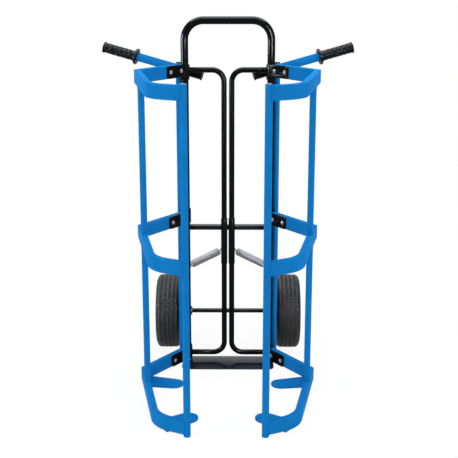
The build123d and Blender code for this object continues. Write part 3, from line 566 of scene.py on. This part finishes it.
grip_section += [
    (0.1085, 0.0162), (0.1122, 0.0174), (0.1146, 0.0185), (0.1156, 0.0188), (0.1162, 0.0186),
    (0.1167, 0.0178), (0.1168, 0.0090), (0.1167, 0.0000), (0.1130, 0.0000), (0.1130, 0.01385),
]
for side_name, side in (("left", -1), ("right", 1)):
    grip = turned(side_name + "_padded_grip", grip_section, grip_steps)
    only(grip)
    bpy.ops.object.mode_set(mode="EDIT")
    bpy.ops.mesh.select_mode(type="FACE")
    bpy.ops.mesh.select_all(action="DESELECT")
    bpy.ops.object.mode_set(mode="OBJECT")
    for polygon in grip.data.polygons:
        middle = polygon.center
        out = math.hypot(middle.y, middle.z)
        turn = math.atan2(middle.y, middle.z) + math.pi
        row = math.floor((middle.x - pad_start) / pad_length)
        column = math.floor(turn / (2 * math.pi / grip_steps)) // pad_columns
        in_valley = valley_least < out < valley_most and 0 <= row < pad_rows
        polygon.select = in_valley and (row + column) % 2 == 0
    bpy.ops.object.mode_set(mode="EDIT")
    bpy.ops.mesh.inset(thickness=pad_margin, depth=pad_height)
    bpy.ops.mesh.select_all(action="SELECT")
    bpy.ops.mesh.delete_loose(use_faces=False)
    bpy.ops.mesh.select_all(action="SELECT")
    bpy.ops.mesh.normals_make_consistent(inside=False)
    bpy.ops.mesh.select_mode(type="VERT")
    bpy.ops.object.mode_set(mode="OBJECT")
    mirror = Vector((side, 1, 1))
    share = (grip_x - lever_foot.x) / (lever_tip.x - lever_foot.x)
    grip_start = lever_foot.lerp(lever_tip, share) * mirror
    turn = ((lever_tip - lever_foot) * mirror).to_track_quat("X", "Z").to_matrix().to_4x4()
    grip.matrix_world = Matrix.Translation(grip_start) @ turn
    only(grip)
    bpy.ops.object.transform_apply(location=True, rotation=True, scale=True)
    bpy.ops.object.shade_smooth_by_angle(angle=math.radians(grip_angle))
    grip.data.materials.append(grip_rubber)
    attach(grip, side_name + "_arm")
    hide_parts(side_name + "_handle_grip")

# Springs: 3 mm zinc-plated wire wound closed at 26 mm across, hooked in a lug on the frame and
# drawn in at the other end around the turning hook; the wire is built once, in one place.
spring_zinc = zinc_plate(
    "dull_spring_zinc", (0.23, 0.23, 0.245), rough=0.36, metallic=0.50, shine=0.50
)
wire, coil_out, pitch, per_turn = 0.003, 0.0113, 0.0035, 28
cone_turns, cone_out, neck = 1.5, 0.0045, 0.0175
lead, leave, arrive, lead_steps = 0.0085, 0.010, 0.008, 8
hook_out, hook_sweep, hook_steps = 0.0065, 230, 21
bar_lug, frame_lug = Vector((0.0126, 0.018, 0.397)), Vector((0.131, 0.024, 0.336))
for side_name, side in (("left", -1), ("right", 1)):
    inner, outer = bar_lug * Vector((side, 1, 1)), frame_lug * Vector((side, 1, 1))
    way = (outer - inner).normalized()
    across = way.cross(Vector((0, 0, 1))).normalized()
    upward = across.cross(way).normalized()
    coil_start = neck + cone_turns * pitch
    turns = int(((outer - inner).length - coil_start - lead) / pitch)
    route = []
    for step in range(-int(cone_turns * per_turn), turns * per_turn + 1):
        turn = step / per_turn
        drawn_in = (coil_out - cone_out) * min(0, turn) / cone_turns
        spoke = upward * math.cos(2 * math.pi * turn) + across * math.sin(2 * math.pi * turn)
        route.append(inner + way * (coil_start + turn * pitch) + spoke * (coil_out + drawn_in))
    last = route[-1]
    hook_middle = outer - way * hook_out
    hook_top = hook_middle + upward * hook_out
    for step in range(1, lead_steps):
        t = step / lead_steps
        leaving = last + across * (leave * t)
        arriving = hook_top - way * (arrive * (1 - t))
        route.append(leaving.lerp(arriving, 3 * t * t - 2 * t * t * t))
    for step in range(hook_steps + 1):
        turn = math.radians(step * hook_sweep / hook_steps)
        spoke = upward * math.cos(turn) + way * math.sin(turn)
        route.append(hook_middle + spoke * hook_out)
    path = bpy.data.curves.new(side_name + "_spring_wire", "CURVE")
    path.dimensions = "3D"
    path.bevel_depth = wire / 2
    path.bevel_resolution = 3
    path.use_fill_caps = True
    line = path.splines.new("POLY")
    line.points.add(len(route) - 1)
    for point, spot in zip(line.points, route):
        point.co = (*spot, 1)
    spring = bpy.data.objects.new(side_name + "_wound_spring", path)
    bpy.context.scene.collection.objects.link(spring)
    only(spring)
    bpy.ops.object.convert(target="MESH")
    spring = bpy.context.object
    bpy.ops.object.shade_smooth()
    spring.data.materials.append(spring_zinc)
    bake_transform(spring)
    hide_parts(side_name + "_spring")

# Stage: a white floor that fades into a white room, soft light from a wide panel overhead and
# tall panels at the sides, strips that only show as shine on gloss, and the picture's camera.


def sees_white(nodes, links):
    """1 for what is seen directly, in a reflection or through glass, 0 for light on things"""
    ray = nodes.new("ShaderNodeLightPath")
    first = nodes.new("ShaderNodeMath")
    first.operation = "MAXIMUM"
    second = nodes.new("ShaderNodeMath")
    second.operation = "MAXIMUM"
    links.new(ray.outputs["Is Camera Ray"], first.inputs[0])
    links.new(ray.outputs["Is Glossy Ray"], first.inputs[1])
    links.new(first.outputs["Value"], second.inputs[0])
    links.new(ray.outputs["Is Transmission Ray"], second.inputs[1])
    return second.outputs["Value"]


def aimed(place, aim):
    """The turn of a lamp that looks from one place to another"""
    return (Vector(aim) - Vector(place)).to_track_quat("-Z", "Y").to_euler()


floor_size, floor_drop = 120, 0.0005
fade_start, fade_end, fade_least = 0.7, 2.2, 0.9
bpy.ops.object.select_all(action="DESELECT")
bpy.ops.mesh.primitive_plane_add(size=floor_size, location=(0, 0, -floor_drop))
floor = bpy.context.object
floor.name = "white_floor"
bpy.ops.object.transform_apply(location=True)
floor_white, nodes, links = new_material("white_floor_paper")
shader = nodes["Principled BSDF"]
shader.inputs["Base Color"].default_value = (0.92, 0.92, 0.92, 1)
shader.inputs["Roughness"].default_value = 0.9
place = nodes.new("ShaderNodeTexCoord")
far = nodes.new("ShaderNodeVectorMath")
far.operation = "LENGTH"
fade = carried_over(nodes, fade_least, 1.0, start=fade_start, end=fade_end)
share = nodes.new("ShaderNodeMath")
share.operation = "MULTIPLY"
glow = nodes.new("ShaderNodeEmission")
glow.inputs["Color"].default_value = (1, 1, 1, 1)
glow.inputs["Strength"].default_value = 1.0
join = nodes.new("ShaderNodeMixShader")
links.new(place.outputs["Object"], far.inputs[0])
links.new(far.outputs["Value"], fade.inputs["Value"])
links.new(sees_white(nodes, links), share.inputs[0])
links.new(fade.outputs["Result"], share.inputs[1])
links.new(share.outputs["Value"], join.inputs["Fac"])
links.new(shader.outputs["BSDF"], join.inputs[1])
links.new(glow.outputs["Emission"], join.inputs[2])
links.new(join.outputs["Shader"], nodes["Material Output"].inputs["Surface"])
floor.data.materials.append(floor_white)

room_light = 0.76
world = bpy.data.worlds.new("studio")
bpy.context.scene.world = world
world.use_nodes = True
nodes, links = world.node_tree.nodes, world.node_tree.links
room = nodes["Background"]
room.inputs["Color"].default_value = (1, 1, 1, 1)
room.inputs["Strength"].default_value = room_light
white = nodes.new("ShaderNodeBackground")
white.inputs["Color"].default_value = (1, 1, 1, 1)
white.inputs["Strength"].default_value = 1.0
join = nodes.new("ShaderNodeMixShader")
links.new(sees_white(nodes, links), join.inputs["Fac"])
links.new(room.outputs["Background"], join.inputs[1])
links.new(white.outputs["Background"], join.inputs[2])
links.new(join.outputs["Shader"], nodes["World Output"].inputs["Surface"])

for name, place, aim, wide, tall, power in (
    ("left_panel", (-2.05, -1.60, 0.95), (0, 0, 0.7), 0.40, 2.2, 13),
    ("right_panel", (2.20, -1.10, 0.95), (0, 0, 0.7), 0.35, 2.0, 10),
    ("top_panel", (0, -0.80, 3.20), (0, -0.1, 0.6), 2.6, 1.5, 36),
):
    lamp_data = bpy.data.lights.new(name, "AREA")
    lamp_data.shape = "RECTANGLE"
    lamp_data.size = wide
    lamp_data.size_y = tall
    lamp_data.energy = power
    lamp = bpy.data.objects.new(name, lamp_data)
    bpy.context.scene.collection.objects.link(lamp)
    lamp.location = place
    lamp.rotation_euler = aimed(place, aim)
    lamp.visible_camera = False

strip_tint = (0.92, 0.96, 1.0, 1)
for name, place, aim, wide, tall, strength in (
    ("left_strip", (-2.50, -0.70, 1.16), (0, 0, 1.16), 1.2, 0.7, 105),
    ("right_strip", (1.00, -2.40, 1.16), (0, 0, 1.16), 0.6, 0.7, 160),
    ("top_strip", (0, 0.15, 3.00), (0, 0.15, 0.0), 3.2, 2.5, 19),
):
    bpy.ops.object.select_all(action="DESELECT")
    bpy.ops.mesh.primitive_plane_add(size=1, location=place, rotation=aimed(place, aim))
    strip = bpy.context.object
    strip.name = name
    strip.scale = (wide, tall, 1)
    bpy.ops.object.transform_apply(location=True, rotation=True, scale=True)
    sheet, nodes, links = new_material(name + "_sheet")
    sheet.cycles.emission_sampling = "NONE"
    glow = nodes.new("ShaderNodeEmission")
    glow.inputs["Color"].default_value = strip_tint
    glow.inputs["Strength"].default_value = strength
    links.new(glow.outputs["Emission"], nodes["Material Output"].inputs["Surface"])
    strip.data.materials.append(sheet)
    strip.visible_camera = False
    strip.visible_diffuse = False
    strip.visible_shadow = False

sensor, focal_pixels, picture_pixels = 36, 979.05, 458
tilt_down, turn_left = 15.286, 0.435
camera_data = bpy.data.cameras.new("camera")
camera_data.sensor_fit = "HORIZONTAL"
camera_data.sensor_width = sensor
camera_data.lens = focal_pixels * sensor / picture_pixels
camera = bpy.data.objects.new("camera", camera_data)
bpy.context.scene.collection.objects.link(camera)
camera.location = (0.02773, -3.17973, 1.34061)
camera.rotation_euler = (math.radians(90 - tilt_down), 0, math.radians(turn_left))
bpy.context.scene.camera = camera
bpy.context.scene.view_settings.view_transform = "Standard"
